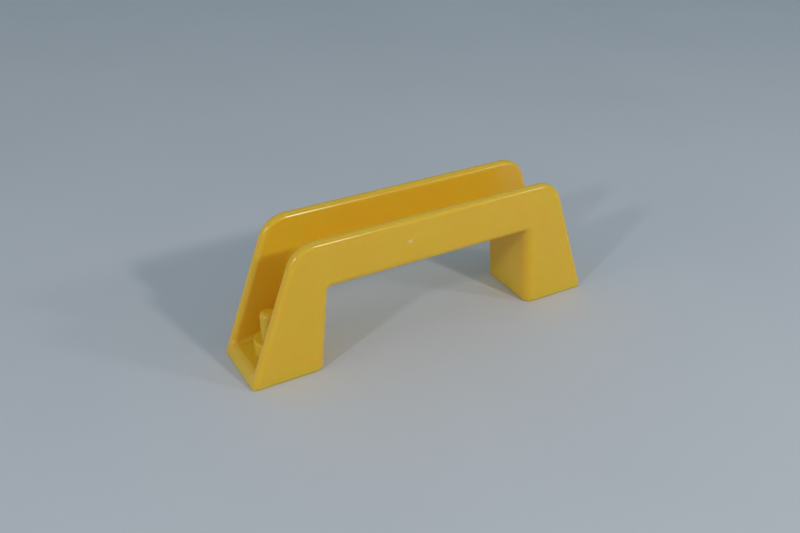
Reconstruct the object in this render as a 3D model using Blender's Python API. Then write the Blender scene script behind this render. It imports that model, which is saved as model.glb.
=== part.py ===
"""Bridge pull handle: one plastic moulding on two feet, with a threaded insert in each foot.

The handle stands on its feet. +X runs along the grip, +Y through it from front to back, and +Z up.
The origin is on the underside, in the middle. Sizes are in metres.
"""
import math

import bmesh
import bpy

# Outline of the handle, seen from the front
LENGTH = 0.152            # along the underside, foot end to foot end
TOP_LENGTH = 0.1127       # between the sharp corners of the top, before they are rounded
HEIGHT = 0.0544
WIDTH = 0.0294            # front face to back face
GRIP_BASE = 0.0931        # clear gap between the legs at the underside
GRIP_TOP = 0.0873         # clear gap between the legs just under the bar
GRIP_HEIGHT = 0.0345      # underside of the bar
TOP_CORNER = 0.0115       # radius of the two top corners
GRIP_CORNER = 0.0015      # radius of the grip opening's corners

# Roundings along the edges
RIM_ROUND = 0.002         # outer edges of the two plates
GRIP_ROUND = 0.0038       # edges that the fingers close round
BASE_ROUND = 0.0012       # edges of the two feet
MOUTH_ROUND = 0.002       # edges where the trough opens
MOUTH_SWING = math.radians(75)  # of each mouth arc, which ends on its tangent

# Trough that runs down one end, along the top and down the other end
WALL = 0.0043             # thickness of the front and back plates
WEB = 0.0044              # thickness of the trough's bottom, which wraps the grip opening
WEB_FILLET = 0.003        # between the trough's bottom and the plates
FLOOR = 0.0055            # thickness of each foot's floor
FLOOR_FILLET = 0.002      # between the floor and the walls round it

# Stepped screw boss on each foot's floor
BOSS_X = 0.0624           # distance of each boss from the middle
BOSS_BASE_R = 0.006
BOSS_BASE_TOP = 0.0112
BOSS_BASE_ROUND = 0.0005
BOSS_TIP_R = 0.0032
BOSS_TIP_TOP = 0.0228
BOSS_TIP_ROUND = 0.0018
RUN_OUT_R = 0.0019        # blind hole above the insert, for the end of the screw
RUN_OUT_TOP = 0.0185

# Threaded insert in each boss
INSERT_R = 0.0035
INSERT_LENGTH = 0.009
INSERT_BORE_R = 0.0021
INSERT_LEAD = 0.0004      # chamfers at its two ends
INSERT_RECESS = 0.0002    # from its lower end to the underside
BAND_LENGTH = 0.003       # each of its two knurled bands
KNURL_TEETH = 18
KNURL_DEPTH = 0.0002
GAP = 0.0003              # between the insert and the plastic

SPARE = 0.004             # how far a shape runs past a face that it is cut at
ARC_STEPS = 8
EDGE_STEPS = 3
TURN_STEPS = 2 * KNURL_TEETH
SHARP_ANGLE = math.radians(35)

END_LEAN = math.atan2((LENGTH - TOP_LENGTH) / 2, HEIGHT)             # of the end faces
LEG_LEAN = math.atan2((GRIP_BASE - GRIP_TOP) / 2, GRIP_HEIGHT)       # of the legs' inner faces

YELLOW = (0.53, 0.34, 0.035)
BRASS = (0.62, 0.45, 0.20)


def clear_scene():
    """Remove every object."""
    for obj in list(bpy.data.objects):
        bpy.data.objects.remove(obj, do_unlink=True)


def make_material(name, colour, roughness, metallic):
    """Return a Principled material."""
    material = bpy.data.materials.new(name)
    material.use_nodes = True
    shader = material.node_tree.nodes["Principled BSDF"]
    shader.inputs["Base Color"].default_value = (*colour, 1.0)
    shader.inputs["Roughness"].default_value = roughness
    shader.inputs["Metallic"].default_value = metallic
    return material


def arc(centre, radius, start, end, steps):
    """Return points on an arc from one angle to another."""
    angles = [start + (end - start) * step / steps for step in range(steps + 1)]
    return [(centre[0] + radius * math.cos(a), centre[1] + radius * math.sin(a)) for a in angles]


def end_x(z, depth=0.0):
    """Return the distance from the middle of a line at a depth inside the end face, at height z."""
    return LENGTH / 2 - z * math.tan(END_LEAN) - depth / math.cos(END_LEAN)


def leg_x(z, depth=0.0):
    """Return the distance from the middle of a line at a depth inside the leg's inner face, at height z."""
    return GRIP_BASE / 2 - z * math.tan(LEG_LEAN) + depth / math.cos(LEG_LEAN)


def top_corner(depth):
    """Return the right top corner, at a depth inside the outline."""
    centre_z = HEIGHT - TOP_CORNER
    centre = (end_x(centre_z, TOP_CORNER), centre_z)
    return arc(centre, TOP_CORNER - depth, END_LEAN, math.pi / 2, ARC_STEPS)


def grip_corner(depth):
    """Return the grip opening's right top corner, at a depth inside the outline."""
    centre_z = GRIP_HEIGHT - GRIP_CORNER
    centre = (leg_x(centre_z, -GRIP_CORNER), centre_z)
    return arc(centre, GRIP_CORNER + depth, LEG_LEAN, math.pi / 2, ARC_STEPS)


def handle_outline():
    """Return the outline in X and Z, with legs that run past the underside."""
    low = -SPARE
    right = grip_corner(0.0)[::-1] + [(leg_x(low), low), (end_x(low), low)] + top_corner(0.0)
    return right + [(-x, z) for x, z in reversed(right)]


def mouth_profile():
    """Return (flare, depth) points of the mouth's rounding, which goes on along its tangent and outside."""
    points = arc((MOUTH_ROUND, MOUTH_ROUND), MOUTH_ROUND, math.pi, math.pi + MOUTH_SWING, EDGE_STEPS)
    flare, depth = points[-1]
    rise = depth + MOUTH_ROUND / 4
    flare += rise * math.tan(MOUTH_SWING)
    return points + [(flare, depth - rise), (flare, -SPARE)]


def web_rail(across, along, floor_steps):
    """Return a line up the fillet beside the trough's bottom, from the floor to the bar.

    The two numbers are the cosine and the sine of its place on the fillet.
    """
    centre_y = WIDTH / 2 - WALL - WEB_FILLET
    rail = []
    for inset, z in floor_steps:
        radius = WEB_FILLET - inset
        rail.append((leg_x(z, WEB + WEB_FILLET - radius * along), centre_y + radius * across, z))
    corner = grip_corner(WEB + WEB_FILLET * (1 - along))
    return rail + [(x, centre_y + WEB_FILLET * across, z) for x, z in corner]


def mouth_rail(flare, depth, floor_steps):
    """Return a line along the mouth, from the floor to the bar."""
    side = WIDTH / 2 - WALL
    rail = []
    for inset, z in floor_steps:
        sideways = 1 - inset / FLOOR_FILLET
        downward = 1 - (z - FLOOR) / FLOOR_FILLET
        low = z - flare * downward
        rail.append((end_x(low, depth), side - inset + flare * sideways, low))
    return rail + [(x, side + flare, z) for x, z in top_corner(depth)]


def trough_rails():
    """Return the lines along the back half of the trough, from its bottom out past its mouth."""
    floor_steps = arc((FLOOR_FILLET, FLOOR + FLOOR_FILLET), FLOOR_FILLET,
                      -math.pi / 2, -math.pi, 2 * EDGE_STEPS)
    fillet = arc((0.0, 0.0), 1.0, math.pi / 2, 0.0, 2 * EDGE_STEPS)
    rails = [web_rail(across, along, floor_steps) for across, along in fillet]
    rails += [mouth_rail(flare, depth, floor_steps) for flare, depth in mouth_profile()]
    return [rail + [(-x, y, z) for x, y, z in reversed(rail)] for rail in rails]


def extrude(outline, width):
    """Return a bmesh of an X and Z outline, extruded to both sides of Y = 0."""
    mesh = bmesh.new()
    front = [mesh.verts.new((x, -width / 2, z)) for x, z in outline]
    back = [mesh.verts.new((x, width / 2, z)) for x, z in outline]
    mesh.faces.new(front)
    mesh.faces.new(back[::-1])
    for index in range(len(outline)):
        mesh.faces.new((front[index], front[index - 1], back[index - 1], back[index]))
    bmesh.ops.recalc_face_normals(mesh, faces=mesh.faces)
    return mesh


def round_edges(mesh, edges, radius, steps):
    """Round the edges given."""
    bmesh.ops.bevel(mesh, geom=edges, offset=radius, segments=steps, profile=0.5, affect="EDGES")


def outline_edges(mesh, wanted):
    """Return the front and back edges of a new extrusion whose middles pass the wanted test."""
    found = []
    for edge in mesh.edges:
        a, b = (vert.co for vert in edge.verts)
        if a.y == b.y and wanted((a + b) / 2):
            found.append(edge)
    return found


def beside_grip(point):
    """Tell whether a point of the outline is on the side that the fingers close round."""
    return abs(point.x) < leg_x(point.z) + RIM_ROUND and -SPARE < point.z < GRIP_HEIGHT + RIM_ROUND


def on_outside(point):
    """Tell whether a point of the outline is on an end face or the top."""
    return point.z > -SPARE and not beside_grip(point)


def cut_underside(mesh):
    """Cut the legs at Z = 0, close them and return the edges of the two cuts."""
    everything = mesh.verts[:] + mesh.edges[:] + mesh.faces[:]
    bmesh.ops.bisect_plane(mesh, geom=everything, plane_co=(0, 0, 0), plane_no=(0, 0, -1), clear_outer=True)
    rim = [edge for edge in mesh.edges if edge.is_boundary]
    bmesh.ops.holes_fill(mesh, edges=rim, sides=0)
    bmesh.ops.recalc_face_normals(mesh, faces=mesh.faces)
    return rim


def turned(rings, closed):
    """Return a bmesh turned about Z from (radius, z, knurled) points.

    A closed profile makes a ring. An open one starts and ends on the axis.
    """
    mesh = bmesh.new()
    loops = []
    for radius, z, knurled in rings:
        if radius == 0.0:
            loops.append([mesh.verts.new((0, 0, z))] * TURN_STEPS)
            continue
        loop = []
        for step in range(TURN_STEPS):
            angle = 2 * math.pi * step / TURN_STEPS
            reach = radius - KNURL_DEPTH * (knurled and step % 2)
            loop.append(mesh.verts.new((reach * math.cos(angle), reach * math.sin(angle), z)))
        loops.append(loop)
    pairs = list(zip(loops, loops[1:] + loops[:1] if closed else loops[1:]))
    for low, high in pairs:
        for step in range(TURN_STEPS):
            corners = [low[step - 1], low[step], high[step], high[step - 1]]
            mesh.faces.new(sorted(set(corners), key=corners.index))
    bmesh.ops.recalc_face_normals(mesh, faces=mesh.faces)
    return mesh


def add_object(name, mesh, material=None, x=0.0):
    """Link a bmesh as an object, shaded smooth, and return it."""
    data = bpy.data.meshes.new(name)
    mesh.to_mesh(data)
    mesh.free()
    data.shade_smooth()
    data.set_sharp_from_angle(angle=SHARP_ANGLE)
    obj = bpy.data.objects.new(name, data)
    obj.location.x = x
    bpy.context.collection.objects.link(obj)
    if material:
        data.materials.append(material)
    return obj


def add_guide(name, mesh, x=0.0):
    """Link a bmesh as a shape that only joins or cuts another one."""
    obj = add_object(name, mesh, x=x)
    obj.hide_render = True
    obj.display_type = "WIRE"
    return obj


def combine(obj, guide, operation):
    """Join a guide to an object, or cut it away."""
    modifier = obj.modifiers.new(guide.name, "BOOLEAN")
    modifier.operation = operation
    modifier.solver = "EXACT"
    modifier.object = guide


def body_shell():
    """Return the moulding before the trough is cut: outline, rounded edges and flat feet."""
    mesh = extrude(handle_outline(), WIDTH)
    outside = outline_edges(mesh, on_outside)
    grip = outline_edges(mesh, beside_grip)
    round_edges(mesh, outside, RIM_ROUND, EDGE_STEPS)
    round_edges(mesh, grip, GRIP_ROUND, 2 * EDGE_STEPS)
    round_edges(mesh, cut_underside(mesh), BASE_ROUND, EDGE_STEPS)
    return mesh


def trough_space():
    """Return the space that the trough leaves open, its mouth flared by the mouth's rounding."""
    back = trough_rails()
    front = [[(x, -y, z) for x, y, z in rail] for rail in reversed(back)]
    mesh = bmesh.new()
    grid = [[mesh.verts.new(point) for point in rail] for rail in front + back]
    for index, second in enumerate(grid):
        first = grid[index - 1]
        for step in range(1, len(first)):
            mesh.faces.new((first[step - 1], first[step], second[step], second[step - 1]))
    for end in (0, -1):
        for index in range(len(back) - 1):
            near, near_next, far_next, far = (grid[k][end] for k in (index, index + 1, -index - 2, -index - 1))
            mesh.faces.new((near, near_next, far_next, far))
    bmesh.ops.recalc_face_normals(mesh, faces=mesh.faces)
    return mesh


def boss_shape():
    """Return the stepped boss, from inside the floor to its rounded tip."""
    edge = BOSS_BASE_ROUND
    tip = BOSS_TIP_ROUND
    points = [(0.0, FLOOR / 2), (BOSS_BASE_R, FLOOR / 2)]
    points += arc((BOSS_BASE_R - edge, BOSS_BASE_TOP - edge), edge, 0.0, math.pi / 2, EDGE_STEPS)
    points += [(BOSS_TIP_R, BOSS_BASE_TOP)]
    points += arc((BOSS_TIP_R - tip, BOSS_TIP_TOP - tip), tip, 0.0, math.pi / 2, 2 * EDGE_STEPS)
    points += [(0.0, BOSS_TIP_TOP)]
    return turned([(radius, z, False) for radius, z in points], closed=False)


def insert_hole():
    """Return the pocket for the insert and the blind hole above it."""
    pocket = INSERT_R + GAP
    top = INSERT_RECESS + INSERT_LENGTH + GAP
    points = [(0.0, -SPARE), (pocket, -SPARE), (pocket, top), (RUN_OUT_R, top), (RUN_OUT_R, RUN_OUT_TOP)]
    points += [(0.0, RUN_OUT_TOP + RUN_OUT_R / 2)]
    return turned([(radius, z, False) for radius, z in points], closed=False)


def insert_shape():
    """Return the threaded insert: two knurled bands, a groove between them and a through hole."""
    low = INSERT_RECESS
    high = low + INSERT_LENGTH
    lead = INSERT_LEAD
    band = BAND_LENGTH + 2 * lead
    rings = [(INSERT_BORE_R, low + lead, False), (INSERT_BORE_R + lead, low, False)]
    for start, end in ((low, low + band), (high - band, high)):
        rings += [(INSERT_R - lead, start, False), (INSERT_R, start + lead, True)]
        rings += [(INSERT_R, end - lead, True), (INSERT_R - lead, end, False)]
    rings += [(INSERT_BORE_R + lead, high, False), (INSERT_BORE_R, high - lead, False)]
    return turned(rings, closed=True)


def build():
    """Build the handle."""
    clear_scene()
    plastic = make_material("yellow_plastic", YELLOW, 0.35, 0.0)
    brass = make_material("brass", BRASS, 0.35, 1.0)

    body = add_object("handle_body", body_shell(), plastic)
    combine(body, add_guide("trough_space", trough_space()), "DIFFERENCE")
    for side, x in (("left", -BOSS_X), ("right", BOSS_X)):
        combine(body, add_guide(side + "_boss", boss_shape(), x), "UNION")
        combine(body, add_guide(side + "_insert_hole", insert_hole(), x), "DIFFERENCE")
        add_object(side + "_threaded_insert", insert_shape(), brass, x)


build()
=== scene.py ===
"""Looks of a bridge pull handle: a fine moulding, threaded inserts, materials, table, lights and camera.

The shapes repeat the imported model's sizes in metres, with finer roundings and the small marks of a mould.
"""
import math

import bmesh
import bpy
from mathutils import Matrix, Vector


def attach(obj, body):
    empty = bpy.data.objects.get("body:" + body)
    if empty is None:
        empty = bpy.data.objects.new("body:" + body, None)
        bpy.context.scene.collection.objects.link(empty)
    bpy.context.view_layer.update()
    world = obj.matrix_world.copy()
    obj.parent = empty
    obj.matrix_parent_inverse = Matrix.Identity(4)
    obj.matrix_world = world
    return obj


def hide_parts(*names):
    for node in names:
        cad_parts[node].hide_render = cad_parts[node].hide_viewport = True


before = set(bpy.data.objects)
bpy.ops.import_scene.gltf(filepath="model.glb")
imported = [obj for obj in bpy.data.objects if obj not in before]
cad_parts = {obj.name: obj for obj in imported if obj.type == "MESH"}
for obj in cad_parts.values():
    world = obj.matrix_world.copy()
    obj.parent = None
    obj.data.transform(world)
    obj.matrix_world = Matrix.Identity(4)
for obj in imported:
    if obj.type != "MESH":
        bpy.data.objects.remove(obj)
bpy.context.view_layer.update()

# Outline of the handle, seen from the front
LENGTH = 0.152            # along the underside, foot end to foot end
TOP_LENGTH = 0.1127       # between the sharp corners of the top, before they are rounded
HEIGHT = 0.0544
WIDTH = 0.0294            # front face to back face
GRIP_BASE = 0.0931        # clear gap between the legs at the underside
GRIP_TOP = 0.0873         # clear gap between the legs just under the bar
GRIP_HEIGHT = 0.0345      # underside of the bar
TOP_CORNER = 0.0115       # radius of the two top corners
GRIP_CORNER = 0.0015      # radius of the grip opening's corners
END_LEAN = math.atan2((LENGTH - TOP_LENGTH) / 2, HEIGHT)         # of the end faces
LEG_LEAN = math.atan2((GRIP_BASE - GRIP_TOP) / 2, GRIP_HEIGHT)   # of the legs' inner faces

# Roundings along the edges
RIM_ROUND = 0.002         # outer edges of the two plates
GRIP_ROUND = 0.0038       # edges that the fingers close round
BASE_ROUND = 0.0012       # edges of the two feet
MOUTH_ROUND = 0.002       # edges where the trough opens
MOUTH_SWING = math.radians(75)   # of each mouth arc, which ends on its tangent
MOUTH_RISE = MOUTH_ROUND / 4     # how far that tangent goes on past the surface

# Trough that runs down one end, along the top and down the other end
WALL = 0.0043             # thickness of the front and back plates
WEB = 0.0044              # thickness of the trough's bottom, which wraps the grip opening
WEB_FILLET = 0.003        # between the trough's bottom and the plates
FLOOR = 0.0055            # thickness of each foot's floor
FLOOR_FILLET = 0.002      # between the floor and the walls round it

# Stepped boss on each foot's floor, each step with its radius, top and edge rounding
BOSS_X = 0.0624           # distance of each boss from the middle
BOSS_BASE = (0.006, 0.0112, 0.0005)
BOSS_TIP = (0.0032, 0.0228, 0.0018)
BOSS_FILLET = 0.0004      # round the foot of each step
RUN_OUT_R = 0.0019        # blind hole above the insert, for the end of the screw
RUN_OUT_TOP = 0.0185

# Threaded insert in each boss
INSERT_R = 0.0035
INSERT_LENGTH = 0.009
INSERT_BORE_R = 0.0021
INSERT_LEAD = 0.0004      # chamfers at its two ends
INSERT_RECESS = 0.0002    # from its lower end to the underside
BAND_LENGTH = 0.003       # each of its two knurled bands
KNURL_TEETH = 24
KNURL_DEPTH = 0.0002
KNURL_TWIST = 0.06        # of a turn, over the length of a band
THREAD_PITCH = 0.0008
THREAD_DEPTH = 0.0004
THREAD_FLANK = 1.25       # steepness of the flanks; above 1, the bottom of the groove is flat
THREAD_START = 4          # it gets to its full depth over one part in this many, at each end
GAP = 0.0003              # between the insert and the plastic

# Marks of the mould: ejector pins on the trough's bottom, and the gate on the front face
PIN_R = 0.0015
PIN_DEPTH = 0.00008
PIN_PLACES = (-0.036, -0.018, 0.0, 0.018, 0.036)
GATE_PLACE = (-0.0108, -WIDTH / 2, 0.0457)
GATE_R = 0.0009
GATE_DEPTH = 0.00015
GATE_FADE = (0.4 * GATE_R, 1.3 * GATE_R)   # where its pale colour starts and stops fading

SPARE = 0.004             # how far a shape runs past a face that it is cut at
ARC_STEPS = 28
EDGE_STEPS = 8
TURN_STEPS = 4 * KNURL_TEETH
SHARP_ANGLE = math.radians(35)

# Yellow plastic, which light goes into and comes out of again
PLASTIC = (0.93, 0.575, 0.033)
PLASTIC_DEEP = (0.922, 0.566, 0.031)
PLASTIC_EDGE = (0.93, 0.60, 0.045)
PLASTIC_PALE = (0.97, 0.74, 0.34)
PLASTIC_ROUGHNESS = (0.16, 0.24)
PLASTIC_IOR = 1.5
EDGE_SPAN = (0.52, 0.60)  # pointiness where the paler edges start and are complete
EDGE_SHARE = 0.6
GLOW_WEIGHT = 0.9
GLOW_RADIUS = (1.0, 0.22, 0.03)
GLOW_SCALE = 0.0058

# Brass of the inserts
BRASS = (0.72, 0.52, 0.22)
BRASS_DARK = (0.52, 0.35, 0.13)
BRASS_ROUGHNESS = (0.22, 0.42)

# Table, which reaches the horizon
TABLE_SIZE = 12.0
TABLE_COLOUR = (0.70, 0.70, 0.70)
TABLE_SHADE = 0.965       # of the colour, in its darker clouds
TABLE_ROUGHNESS = 0.75
TABLE_SPECULAR = 0.25

# Noise in the materials: its scale per metre, its detail and the part of its range in use
PATCHES = (55.0, 3.0, (0.35, 0.65))
SMUDGES = (120.0, 5.0, (0.3, 0.7))
STAINS = (700.0, 4.0, (0.35, 0.7))
TOOL_MARKS = (1500.0, 3.0, (0.0, 1.0))
CLOUDS = (9.0, 4.0, (0.3, 0.7))

# Relief in the materials: the scale and detail of its noise, its depth and its strength
WAVES = (90.0, 2.0, 0.0002, 0.08)
MOULD_GRAIN = (2500.0, 2.0, 0.00001, 0.3)
METAL_GRAIN = (6000.0, 1.0, 0.00001, 0.5)
TABLE_GRAIN = (1400.0, 3.0, 0.00005, 0.25)

# Camera, aimed at a point in the grip opening
AZIMUTH = math.radians(-30.25)
ELEVATION = math.radians(30.94)
ROLL = math.radians(0.82)
DISTANCE = 0.35257
TARGET = Vector((-0.00659, 0.0, 0.02593))
LENS = 40.5
SENSOR = 36.0
NEAREST = 0.01            # nearest distance that the camera sees

# Studio: the direction, distance, width, power and colour of each light, and the sky round the table
LIGHTS = {
    "key": ((0.275, -0.78, 0.565), 0.9, 0.065, 1.64, (1.0, 0.96, 0.91)),
    "side": ((-0.785, -0.36, 0.505), 0.9, 0.065, 1.145, (0.83, 0.93, 1.13)),
    "right": ((0.62, -0.61, 0.49), 0.9, 0.09, 0.66, (1.0, 1.0, 1.25)),
    "window": ((-1.0, -0.08, 0.38), 1.5, 0.6, 2.5, (1.0, 0.62, 0.45)),
}
SKY = (0.233, 0.310, 0.367)
SKY_RISE = 0.35           # sine of the elevation where the sky is at its full brightness


def arc(centre, radius, start, end, steps):
    """Return points on an arc from one angle to another."""
    angles = [start + (end - start) * step / steps for step in range(steps + 1)]
    return [(centre[0] + radius * math.cos(a), centre[1] + radius * math.sin(a)) for a in angles]


def end_x(z, depth=0.0):
    """Return the distance from the middle of a line at a depth inside the end face, at height z."""
    return LENGTH / 2 - z * math.tan(END_LEAN) - depth / math.cos(END_LEAN)


def leg_x(z, depth=0.0):
    """Return the distance from the middle of a line at a depth inside the leg's inner face, at height z."""
    return GRIP_BASE / 2 - z * math.tan(LEG_LEAN) + depth / math.cos(LEG_LEAN)


def top_corner(depth):
    """Return the right top corner, at a depth inside the outline."""
    centre_z = HEIGHT - TOP_CORNER
    centre = (end_x(centre_z, TOP_CORNER), centre_z)
    return arc(centre, TOP_CORNER - depth, END_LEAN, math.pi / 2, ARC_STEPS)


def grip_corner(depth):
    """Return the grip opening's right top corner, at a depth inside the outline."""
    centre_z = GRIP_HEIGHT - GRIP_CORNER
    centre = (leg_x(centre_z, -GRIP_CORNER), centre_z)
    return arc(centre, GRIP_CORNER + depth, LEG_LEAN, math.pi / 2, ARC_STEPS)


def handle_outline():
    """Return the outline in X and Z, with legs that run past the underside."""
    low = -SPARE
    right = grip_corner(0.0)[::-1] + [(leg_x(low), low), (end_x(low), low)] + top_corner(0.0)
    return right + [(-x, z) for x, z in reversed(right)]


def mouth_profile():
    """Return (flare, depth) points of the mouth's rounding, which goes on along its tangent and outside."""
    points = arc((MOUTH_ROUND, MOUTH_ROUND), MOUTH_ROUND, math.pi, math.pi + MOUTH_SWING, EDGE_STEPS)
    flare, depth = points[-1]
    flare += (depth + MOUTH_RISE) * math.tan(MOUTH_SWING)
    return points + [(flare, -MOUTH_RISE), (flare, -SPARE)]


def web_rail(across, along, floor_steps):
    """Return a line up the fillet beside the trough's bottom, from the floor to the bar.

    The two numbers are the cosine and the sine of its place on the fillet.
    """
    centre_y = WIDTH / 2 - WALL - WEB_FILLET
    rail = []
    for inset, z in floor_steps:
        radius = WEB_FILLET - inset
        rail.append((leg_x(z, WEB + WEB_FILLET - radius * along), centre_y + radius * across, z))
    corner = grip_corner(WEB + WEB_FILLET * (1 - along))
    return rail + [(x, centre_y + WEB_FILLET * across, z) for x, z in corner]


def mouth_rail(flare, depth, floor_steps):
    """Return a line along the mouth, from the floor to the bar."""
    side = WIDTH / 2 - WALL
    rail = []
    for inset, z in floor_steps:
        sideways = 1 - inset / FLOOR_FILLET
        downward = 1 - (z - FLOOR) / FLOOR_FILLET
        low = z - flare * downward
        rail.append((end_x(low, depth), side - inset + flare * sideways, low))
    return rail + [(x, side + flare, z) for x, z in top_corner(depth)]


def trough_rails():
    """Return the lines along the back half of the trough, from its bottom out past its mouth."""
    floor_steps = arc((FLOOR_FILLET, FLOOR + FLOOR_FILLET), FLOOR_FILLET,
                      -math.pi / 2, -math.pi, EDGE_STEPS)
    fillet = arc((0.0, 0.0), 1.0, math.pi / 2, 0.0, EDGE_STEPS)
    rails = [web_rail(across, along, floor_steps) for across, along in fillet]
    rails += [mouth_rail(flare, depth, floor_steps) for flare, depth in mouth_profile()]
    return [rail + [(-x, y, z) for x, y, z in reversed(rail)] for rail in rails]


def extrude(outline, width):
    """Return a bmesh of an X and Z outline, extruded to both sides of Y = 0."""
    mesh = bmesh.new()
    front = [mesh.verts.new((x, -width / 2, z)) for x, z in outline]
    back = [mesh.verts.new((x, width / 2, z)) for x, z in outline]
    mesh.faces.new(front)
    mesh.faces.new(back[::-1])
    for index in range(len(outline)):
        mesh.faces.new((front[index], front[index - 1], back[index - 1], back[index]))
    bmesh.ops.recalc_face_normals(mesh, faces=mesh.faces)
    return mesh


def round_edges(mesh, edges, radius, steps):
    """Round the edges given."""
    bmesh.ops.bevel(mesh, geom=edges, offset=radius, segments=steps, profile=0.5, affect="EDGES")


def outline_edges(mesh, wanted):
    """Return the front and back edges of a new extrusion whose middles pass the wanted test."""
    found = []
    for edge in mesh.edges:
        a, b = (vert.co for vert in edge.verts)
        if a.y == b.y and wanted((a + b) / 2):
            found.append(edge)
    return found


def beside_grip(point):
    """Tell whether a point of the outline is on the side that the fingers close round."""
    return abs(point.x) < leg_x(point.z) + RIM_ROUND and -SPARE < point.z < GRIP_HEIGHT + RIM_ROUND


def on_outside(point):
    """Tell whether a point of the outline is on an end face or the top."""
    return point.z > -SPARE and not beside_grip(point)


def cut_underside(mesh):
    """Cut the legs at Z = 0, close them and return the edges of the two cuts."""
    everything = mesh.verts[:] + mesh.edges[:] + mesh.faces[:]
    bmesh.ops.bisect_plane(mesh, geom=everything, plane_co=(0, 0, 0), plane_no=(0, 0, -1), clear_outer=True)
    rim = [edge for edge in mesh.edges if edge.is_boundary]
    bmesh.ops.holes_fill(mesh, edges=rim, sides=0)
    bmesh.ops.recalc_face_normals(mesh, faces=mesh.faces)
    return rim


def turned(rings, closed):
    """Return a bmesh turned about Z from (reach, z) rings.

    Reach is a radius, or a function that gives it at an angle in turns. An open profile is on the axis
    at both ends, and a closed one makes a ring.
    """
    mesh = bmesh.new()
    loops = []
    for reach, z in rings:
        if reach == 0.0:
            loops.append([mesh.verts.new((0, 0, z))] * TURN_STEPS)
            continue
        loop = []
        for step in range(TURN_STEPS):
            turn = step / TURN_STEPS
            radius = reach(turn) if callable(reach) else reach
            angle = 2 * math.pi * turn
            loop.append(mesh.verts.new((radius * math.cos(angle), radius * math.sin(angle), z)))
        loops.append(loop)
    pairs = zip(loops, loops[1:] + loops[:1] if closed else loops[1:])
    for low, high in pairs:
        for step in range(TURN_STEPS):
            corners = [low[step - 1], low[step], high[step], high[step - 1]]
            mesh.faces.new(sorted(set(corners), key=corners.index))
    bmesh.ops.recalc_face_normals(mesh, faces=mesh.faces)
    return mesh


def add_object(name, mesh):
    """Link a bmesh as an object and return it."""
    data = bpy.data.meshes.new(name)
    mesh.to_mesh(data)
    mesh.free()
    obj = bpy.data.objects.new(name, data)
    bpy.context.collection.objects.link(obj)
    return obj


def combine(obj, mesh, operation, place=(0.0, 0.0, 0.0)):
    """Join a bmesh to an object, or cut it away."""
    mesh.transform(Matrix.Translation(place))
    guide = add_object("guide", mesh)
    modifier = obj.modifiers.new("cut", "BOOLEAN")
    modifier.operation = operation
    modifier.solver = "EXACT"
    modifier.object = guide
    settle(obj)
    bpy.data.objects.remove(guide)


def settle(obj):
    """Apply an object's modifiers."""
    state = bpy.context.evaluated_depsgraph_get()
    data = bpy.data.meshes.new_from_object(obj.evaluated_get(state))
    obj.modifiers.clear()
    obj.data = data


def shade(obj):
    """Shade an object smooth, with flat faces that stay flat beside their roundings."""
    obj.data.shade_smooth()
    obj.data.set_sharp_from_angle(angle=SHARP_ANGLE)
    modifier = obj.modifiers.new("flat_faces", "WEIGHTED_NORMAL")
    modifier.keep_sharp = True
    settle(obj)


def body_shell():
    """Return the moulding before the trough is cut: outline, rounded edges and flat feet."""
    mesh = extrude(handle_outline(), WIDTH)
    outside = outline_edges(mesh, on_outside)
    grip = outline_edges(mesh, beside_grip)
    round_edges(mesh, outside, RIM_ROUND, EDGE_STEPS)
    round_edges(mesh, grip, GRIP_ROUND, 2 * EDGE_STEPS)
    round_edges(mesh, cut_underside(mesh), BASE_ROUND, EDGE_STEPS // 2)
    return mesh


def trough_space():
    """Return the space that the trough leaves open, its mouth flared by the mouth's rounding."""
    back = trough_rails()
    front = [[(x, -y, z) for x, y, z in rail] for rail in reversed(back)]
    mesh = bmesh.new()
    grid = [[mesh.verts.new(point) for point in rail] for rail in front + back]
    for index, second in enumerate(grid):
        first = grid[index - 1]
        for step in range(1, len(first)):
            mesh.faces.new((first[step - 1], first[step], second[step], second[step - 1]))
    for end in (0, -1):
        for index in range(len(back) - 1):
            across = (index, index + 1, -index - 2, -index - 1)
            mesh.faces.new([grid[rail][end] for rail in across])
    bmesh.ops.recalc_face_normals(mesh, faces=mesh.faces)
    return mesh


def boss_shape():
    """Return the stepped boss, from inside the floor to its rounded tip."""
    base_r, base_top, base_round = BOSS_BASE
    tip_r, tip_top, tip_round = BOSS_TIP
    foot = (base_r + BOSS_FILLET, FLOOR + BOSS_FILLET)
    neck = (tip_r + BOSS_FILLET, base_top + BOSS_FILLET)
    points = [(0.0, FLOOR / 2), (foot[0], FLOOR / 2)]
    points += arc(foot, BOSS_FILLET, -math.pi / 2, -math.pi, EDGE_STEPS)
    points += arc((base_r - base_round, base_top - base_round), base_round, 0.0, math.pi / 2, EDGE_STEPS)
    points += arc(neck, BOSS_FILLET, -math.pi / 2, -math.pi, EDGE_STEPS)
    points += arc((tip_r - tip_round, tip_top - tip_round), tip_round, 0.0, math.pi / 2, EDGE_STEPS)
    return turned(points + [(0.0, tip_top)], closed=False)


def insert_hole():
    """Return the pocket for the insert and the blind hole above it."""
    pocket = INSERT_R + GAP
    top = INSERT_RECESS + INSERT_LENGTH + GAP
    points = [(0.0, -SPARE), (pocket, -SPARE), (pocket, top), (RUN_OUT_R, top), (RUN_OUT_R, RUN_OUT_TOP)]
    return turned(points + [(0.0, RUN_OUT_TOP + RUN_OUT_R / 2)], closed=False)


def disc(radius, depth):
    """Return a thin disc with a sloped edge, half of it above Z = 0."""
    points = [(0.0, -depth), (radius - depth, -depth), (radius + depth, depth), (0.0, depth)]
    return turned(points, closed=False)


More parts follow.
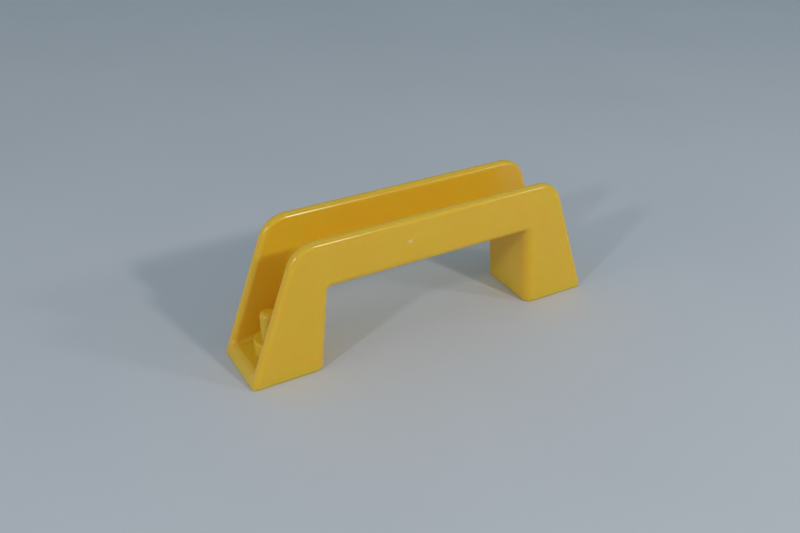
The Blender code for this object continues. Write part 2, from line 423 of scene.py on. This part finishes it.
def add_moulding():
    """Add the fine moulding with the marks of its mould."""
    body = add_object("moulded_handle", body_shell())
    combine(body, trough_space(), "DIFFERENCE")
    for x in (-BOSS_X, BOSS_X):
        combine(body, boss_shape(), "UNION", (x, 0, 0))
        combine(body, insert_hole(), "DIFFERENCE", (x, 0, 0))
    for x in PIN_PLACES:
        combine(body, disc(PIN_R, PIN_DEPTH), "DIFFERENCE", (x, 0, GRIP_HEIGHT + WEB))
    gate = disc(GATE_R, GATE_DEPTH)
    gate.transform(Matrix.Rotation(math.pi / 2, 4, "X"))
    combine(body, gate, "DIFFERENCE", GATE_PLACE)
    shade(body)
    return body


def wave(turns):
    """Return a triangle wave between 0 and 1."""
    return abs(2 * (turns % 1.0) - 1)


def knurl(part, hand):
    """Return the reach of a knurled band, part way along it."""
    return lambda turn: INSERT_R - KNURL_DEPTH * wave(KNURL_TEETH * (turn + hand * KNURL_TWIST * part))


def thread(z, full):
    """Return the reach of the thread at height z, where it has a share of its full depth."""
    def reach(turn):
        groove = min(1.0, THREAD_FLANK * wave(z / THREAD_PITCH - turn))
        return INSERT_BORE_R + full * THREAD_DEPTH * groove

    return reach


def insert_shape():
    """Return the threaded insert: two bands with crossed knurls, a groove and a real thread."""
    low = INSERT_RECESS
    high = low + INSERT_LENGTH
    lead = INSERT_LEAD
    band = BAND_LENGTH + 2 * lead
    rings = [(INSERT_BORE_R + lead, low)]
    for start, hand in ((low, 1), (high - band, -1)):
        rings.append((INSERT_R - lead, start))
        for step in range(EDGE_STEPS + 1):
            part = step / EDGE_STEPS
            rings.append((knurl(part, hand), start + lead + part * BAND_LENGTH))
        rings.append((INSERT_R - lead, start + band))
    rings.append((INSERT_BORE_R + lead, high))
    length = high - low - 2 * lead
    steps = round(length / THREAD_PITCH * EDGE_STEPS)
    for step in range(steps + 1):
        z = high - lead - length * step / steps
        full = min(1.0, THREAD_START * step / steps, THREAD_START * (steps - step) / steps)
        rings.append((thread(z, full), z))
    return turned(rings, closed=True)


def add_insert(name, x):
    """Add one threaded insert at X."""
    mesh = insert_shape()
    mesh.transform(Matrix.Translation((x, 0, 0)))
    obj = add_object(name, mesh)
    obj.data.shade_smooth()
    obj.data.set_sharp_from_angle(angle=SHARP_ANGLE)
    return obj


def new_material(name):
    """Return a new material, its node tree and its Principled shader."""
    material = bpy.data.materials.new(name)
    material.use_nodes = True
    tree = material.node_tree
    return material, tree, tree.nodes["Principled BSDF"]


def noise(tree, scale, detail):
    """Add a noise texture in object coordinates and return its value."""
    place = tree.nodes.new("ShaderNodeTexCoord")
    texture = tree.nodes.new("ShaderNodeTexNoise")
    texture.inputs["Scale"].default_value = scale
    texture.inputs["Detail"].default_value = detail
    tree.links.new(place.outputs["Object"], texture.inputs["Vector"])
    return texture.outputs["Fac"]


def spread(tree, value, source, target):
    """Map a value from one range to another, and keep it inside that."""
    node = tree.nodes.new("ShaderNodeMapRange")
    for name, number in zip(("From Min", "From Max", "To Min", "To Max"), (*source, *target)):
        node.inputs[name].default_value = number
    tree.links.new(value, node.inputs["Value"])
    return node.outputs["Result"]


def cloudy(tree, kind, target):
    """Add one of the kinds of noise above and return it, spread over a target range."""
    scale, detail, source = kind
    return spread(tree, noise(tree, scale, detail), source, target)


def blend(tree, factor, first, second):
    """Mix two colours, each a constant or a socket."""
    node = tree.nodes.new("ShaderNodeMix")
    node.data_type = "RGBA"
    tree.links.new(factor, node.inputs["Factor"])
    for name, colour in (("A", first), ("B", second)):
        socket = next(s for s in node.inputs if s.name == name and s.type == "RGBA")
        if isinstance(colour, tuple):
            socket.default_value = (*colour, 1.0)
        else:
            tree.links.new(colour, socket)
    return next(s for s in node.outputs if s.type == "RGBA")


def relief(tree, kind, under=None):
    """Add one of the kinds of relief above, on top of another one, and return its normal."""
    scale, detail, depth, strength = kind
    height = noise(tree, scale, detail)
    node = tree.nodes.new("ShaderNodeBump")
    node.inputs["Distance"].default_value = depth
    node.inputs["Strength"].default_value = strength
    tree.links.new(height, node.inputs["Height"])
    if under:
        tree.links.new(under, node.inputs["Normal"])
    return node.outputs["Normal"]


def paler_edges(tree):
    """Return how far the paler colour of the edges shows."""
    geometry = tree.nodes.new("ShaderNodeNewGeometry")
    return spread(tree, geometry.outputs["Pointiness"], EDGE_SPAN, (0.0, EDGE_SHARE))


def gate_mark(tree):
    """Return 1 on the gate mark in the front face and 0 elsewhere."""
    place = tree.nodes.new("ShaderNodeTexCoord")
    distance = tree.nodes.new("ShaderNodeVectorMath")
    distance.operation = "DISTANCE"
    tree.links.new(place.outputs["Object"], distance.inputs[0])
    distance.inputs[1].default_value = GATE_PLACE
    return spread(tree, distance.outputs["Value"], GATE_FADE, (1.0, 0.0))


def plastic():
    """Return the moulded yellow plastic."""
    material, tree, shader = new_material("yellow_plastic")
    colour = blend(tree, cloudy(tree, PATCHES, (0.0, 1.0)), PLASTIC, PLASTIC_DEEP)
    # Paler colour on the sharp convex edges, where pointiness is high.
    colour = blend(tree, paler_edges(tree), colour, PLASTIC_EDGE)
    colour = blend(tree, gate_mark(tree), colour, PLASTIC_PALE)
    tree.links.new(colour, shader.inputs["Base Color"])
    tree.links.new(cloudy(tree, SMUDGES, PLASTIC_ROUGHNESS), shader.inputs["Roughness"])
    shader.inputs["IOR"].default_value = PLASTIC_IOR
    shader.inputs["Subsurface Weight"].default_value = GLOW_WEIGHT
    shader.inputs["Subsurface Radius"].default_value = GLOW_RADIUS
    shader.inputs["Subsurface Scale"].default_value = GLOW_SCALE
    grain = relief(tree, MOULD_GRAIN, relief(tree, WAVES))
    tree.links.new(grain, shader.inputs["Normal"])
    return material


def brass():
    """Return turned brass."""
    material, tree, shader = new_material("brass")
    colour = blend(tree, cloudy(tree, STAINS, (0.0, 1.0)), BRASS, BRASS_DARK)
    tree.links.new(colour, shader.inputs["Base Color"])
    shader.inputs["Metallic"].default_value = 1.0
    tree.links.new(cloudy(tree, TOOL_MARKS, BRASS_ROUGHNESS), shader.inputs["Roughness"])
    tree.links.new(relief(tree, METAL_GRAIN), shader.inputs["Normal"])
    return material


def table_top():
    """Return the pale, slightly uneven surface of the table."""
    material, tree, shader = new_material("table_top")
    darker = tuple(TABLE_SHADE * channel for channel in TABLE_COLOUR)
    colour = blend(tree, cloudy(tree, CLOUDS, (0.0, 1.0)), TABLE_COLOUR, darker)
    tree.links.new(colour, shader.inputs["Base Color"])
    shader.inputs["Roughness"].default_value = TABLE_ROUGHNESS
    shader.inputs["Specular IOR Level"].default_value = TABLE_SPECULAR
    tree.links.new(relief(tree, TABLE_GRAIN), shader.inputs["Normal"])
    return material


def add_table():
    """Add the table, which isn't part of the handle."""
    bpy.ops.mesh.primitive_plane_add(size=TABLE_SIZE)
    table = bpy.context.object
    table.name = "table"
    table.data.materials.append(table_top())


def add_camera():
    """Place the camera at the viewing angle and make it the scene's own."""
    level = Vector((math.cos(AZIMUTH), math.sin(AZIMUTH), 0.0))
    lean = math.cos(ELEVATION)
    back = Vector((math.sin(AZIMUTH) * lean, -math.cos(AZIMUTH) * lean, math.sin(ELEVATION)))
    above = back.cross(level)
    right = level * math.cos(ROLL) + above * math.sin(ROLL)
    up = above * math.cos(ROLL) - level * math.sin(ROLL)
    data = bpy.data.cameras.new("camera")
    data.lens = LENS
    data.sensor_width = SENSOR
    data.clip_start = NEAREST
    camera = bpy.data.objects.new("camera", data)
    turn = Matrix((right, up, back)).transposed().to_4x4()
    camera.matrix_world = Matrix.Translation(TARGET + back * DISTANCE) @ turn
    bpy.context.collection.objects.link(camera)
    bpy.context.scene.camera = camera


def add_light(name, toward, distance, size, power, colour):
    """Add a round area light in a direction from the handle, aimed at it."""
    data = bpy.data.lights.new(name, "AREA")
    data.shape = "DISK"
    data.size = size
    data.energy = power
    data.color = colour
    light = bpy.data.objects.new(name, data)
    direction = Vector(toward).normalized()
    light.location = direction * distance
    light.rotation_euler = direction.to_track_quat("Z", "Y").to_euler()
    bpy.context.collection.objects.link(light)


def add_sky():
    """Add the soft light of the room, which meets the table in one tone at the horizon."""
    world = bpy.data.worlds.new("studio")
    world.use_nodes = True
    tree = world.node_tree
    place = tree.nodes.new("ShaderNodeTexCoord")
    split = tree.nodes.new("ShaderNodeSeparateXYZ")
    tree.links.new(place.outputs["Generated"], split.inputs[0])
    rise = spread(tree, split.outputs["Z"], (0.0, SKY_RISE), (0.0, 1.0))
    horizon = tuple(light * share for light, share in zip(SKY, TABLE_COLOUR))
    colour = blend(tree, rise, horizon, SKY)
    tree.links.new(colour, tree.nodes["Background"].inputs["Color"])
    bpy.context.scene.world = world


def add_handle():
    """Add the handle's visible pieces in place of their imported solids."""
    yellow = plastic()
    metal = brass()
    body = add_moulding()
    body.data.materials.append(yellow)
    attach(body, "root")
    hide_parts("handle_body")
    for side, x in (("left", -BOSS_X), ("right", BOSS_X)):
        insert = add_insert(side + "_insert_thread", x)
        insert.data.materials.append(metal)
        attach(insert, "root")
        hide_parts(side + "_threaded_insert")


add_handle()
add_table()
add_camera()
for light, settings in LIGHTS.items():
    add_light(light, *settings)
add_sky()
bpy.context.scene.view_settings.view_transform = "Standard"
